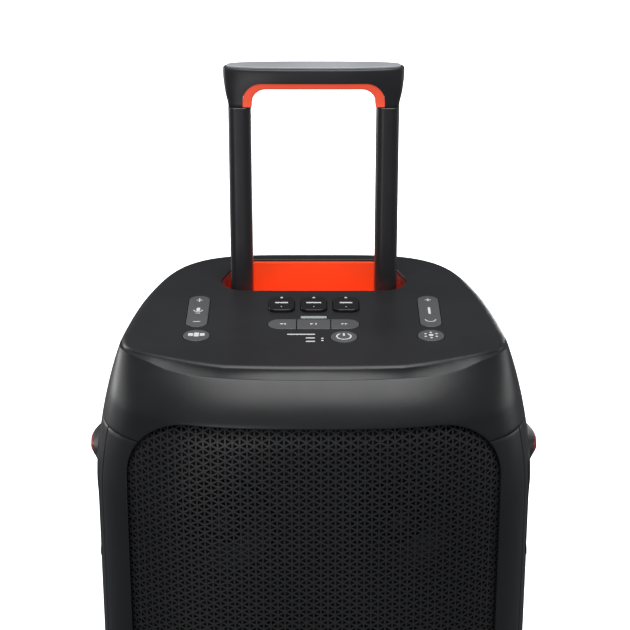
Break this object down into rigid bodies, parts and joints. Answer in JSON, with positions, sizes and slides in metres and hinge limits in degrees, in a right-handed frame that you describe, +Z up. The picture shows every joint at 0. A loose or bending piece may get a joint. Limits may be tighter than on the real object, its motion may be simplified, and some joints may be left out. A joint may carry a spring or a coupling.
{
  "type": "party speaker",
  "caption": "Tall trolley party speaker with a perforated front, a control panel on top, a pull-out handle in an orange pocket, side carry grips and rear wheels.",
  "frame": {"origin": "on the ground, in the middle of the outline, under the feet", "axes": "+Z up, -Y towards the grille, +X to the right as seen from the front"},
  "size_m": [0.326, 0.367, 0.8483],
  "materials": {
    "housing": "satin charcoal, fine texture",
    "black_plastic": "satin black",
    "key_plastic": "smooth satin black",
    "button_grey": "satin grey",
    "plate_grey": "glossy",
    "clear_plastic": "frosted",
    "orange_plastic": "satin orange-red",
    "grille_metal": "satin black powder coat",
    "post_metal": "satin black",
    "driver_frame": "black",
    "cone_paper": "pressed pulp",
    "rubber": "matt",
    "tyre": "matt",
    "steel": "brushed",
    "heat_sink": "plain",
    "circuit_board": "solder mask",
    "battery": "shrink wrap"
  },
  "bodies": {
    "cabinet": {"top_housing": "housing", "front_frame": "housing", "rear_shell": "housing", "base": "black_plastic", "baffle": "black_plastic", "grille": "grille_metal", "side_grip_bezel_left": "black_plastic", "side_grip_bezel_right": "black_plastic", "side_grip_liner_left": "orange_plastic", "side_grip_liner_right": "orange_plastic", "bass_port": "black_plastic", "socket_bay": "black_plastic", "mains_inlet": "black_plastic", "socket_block": "black_plastic", "cover_hinge_pin": "steel", "guide_sleeve_left": "black_plastic", "guide_sleeve_right": "black_plastic", "handle_pocket_liner": "orange_plastic", "tweeter_left": "black_plastic", "tweeter_right": "black_plastic", "woofer_frame_lower": "driver_frame", "woofer_frame_upper": "driver_frame", "woofer_cone_lower": "cone_paper", "woofer_cone_upper": "cone_paper", "light_ring_lower": "clear_plastic", "light_ring_upper": "clear_plastic", "status_window": "clear_plastic", "control_board": "circuit_board", "battery_pack": "battery", "amplifier": "heat_sink", "axle": "steel", "foot_front_left": "rubber", "foot_front_right": "rubber", "foot_rear_left": "rubber", "foot_rear_right": "rubber", "side_grip_trim_left": "orange_plastic", "side_grip_trim_right": "orange_plastic"},
    "handle": {"grip_shell": "housing", "grip_top_plate": "plate_grey", "grip_liner": "orange_plastic", "handle_post_left": "post_metal", "handle_post_right": "post_metal", "post_shoe_left": "button_grey", "post_shoe_right": "button_grey"},
    "wheel_left": {"tyre_left": "tyre", "wheel_hub_left": "black_plastic"},
    "wheel_right": {"tyre_right": "tyre", "wheel_hub_right": "black_plastic"},
    "key_left": {"key_left": "key_plastic"},
    "key_middle": {"key_middle": "key_plastic"},
    "key_right": {"key_right": "key_plastic"},
    "media_key_left": {"media_key_left": "button_grey"},
    "media_key_middle": {"media_key_middle": "button_grey"},
    "media_key_right": {"media_key_right": "button_grey"},
    "power_button": {"power_button": "button_grey"},
    "sound_button": {"sound_button": "button_grey"},
    "light_button": {"light_button": "button_grey"},
    "level_rocker_left": {"level_rocker_left": "button_grey"},
    "level_rocker_right": {"level_rocker_right": "button_grey"},
    "socket_cover": {"socket_cover": "rubber"}
  },
  "joints": [
    {"name": "handle_slide", "type": "slide", "parent": "cabinet", "child": "handle", "axis": [0, 0, 1], "range_m": [-0.163, 0]},
    {"name": "wheel_left_spin", "type": "hinge", "parent": "cabinet", "child": "wheel_left", "pos_m": [-0.132, 0.1335, 0.052], "axis": [1, 0, 0], "continuous": true},
    {"name": "wheel_right_spin", "type": "hinge", "parent": "cabinet", "child": "wheel_right", "pos_m": [0.132, 0.1335, 0.052], "axis": [1, 0, 0], "continuous": true},
    {"name": "key_left_press", "type": "slide", "parent": "cabinet", "child": "key_left", "axis": [0, -0.0436, 0.999], "range_m": [-0.0012, 0], "stiffness_N_per_m": 600},
    {"name": "key_middle_press", "type": "slide", "parent": "cabinet", "child": "key_middle", "axis": [0, -0.0436, 0.999], "range_m": [-0.0012, 0], "stiffness_N_per_m": 600},
    {"name": "key_right_press", "type": "slide", "parent": "cabinet", "child": "key_right", "axis": [0, -0.0436, 0.999], "range_m": [-0.0012, 0], "stiffness_N_per_m": 600},
    {"name": "media_key_left_press", "type": "slide", "parent": "cabinet", "child": "media_key_left", "axis": [0, -0.0436, 0.999], "range_m": [-0.0008, 0], "stiffness_N_per_m": 600},
    {"name": "media_key_middle_press", "type": "slide", "parent": "cabinet", "child": "media_key_middle", "axis": [0, -0.0436, 0.999], "range_m": [-0.0008, 0], "stiffness_N_per_m": 600},
    {"name": "media_key_right_press", "type": "slide", "parent": "cabinet", "child": "media_key_right", "axis": [0, -0.0436, 0.999], "range_m": [-0.0008, 0], "stiffness_N_per_m": 600},
    {"name": "power_button_press", "type": "slide", "parent": "cabinet", "child": "power_button", "axis": [0, -0.0436, 0.999], "range_m": [-0.001, 0], "stiffness_N_per_m": 600},
    {"name": "sound_button_press", "type": "slide", "parent": "cabinet", "child": "sound_button", "axis": [0, -0.0436, 0.999], "range_m": [-0.001, 0], "stiffness_N_per_m": 600},
    {"name": "light_button_press", "type": "slide", "parent": "cabinet", "child": "light_button", "axis": [0, -0.0436, 0.999], "range_m": [-0.001, 0], "stiffness_N_per_m": 600},
    {"name": "level_rocker_left_tilt", "type": "hinge", "parent": "cabinet", "child": "level_rocker_left", "pos_m": [-0.0824, -0.067, 0.681], "axis": [1, 0, 0], "range_deg": [-2.5, 2.5], "stiffness_Nm_per_rad": 0.6},
    {"name": "level_rocker_right_tilt", "type": "hinge", "parent": "cabinet", "child": "level_rocker_right", "pos_m": [0.0824, -0.067, 0.681], "axis": [1, 0, 0], "range_deg": [-2.5, 2.5], "stiffness_Nm_per_rad": 0.6},
    {"name": "socket_cover_hinge", "type": "hinge", "parent": "cabinet", "child": "socket_cover", "pos_m": [0, 0.1221, 0.3292], "axis": [-1, 0, 0], "range_deg": [0, 100]}
  ]
}
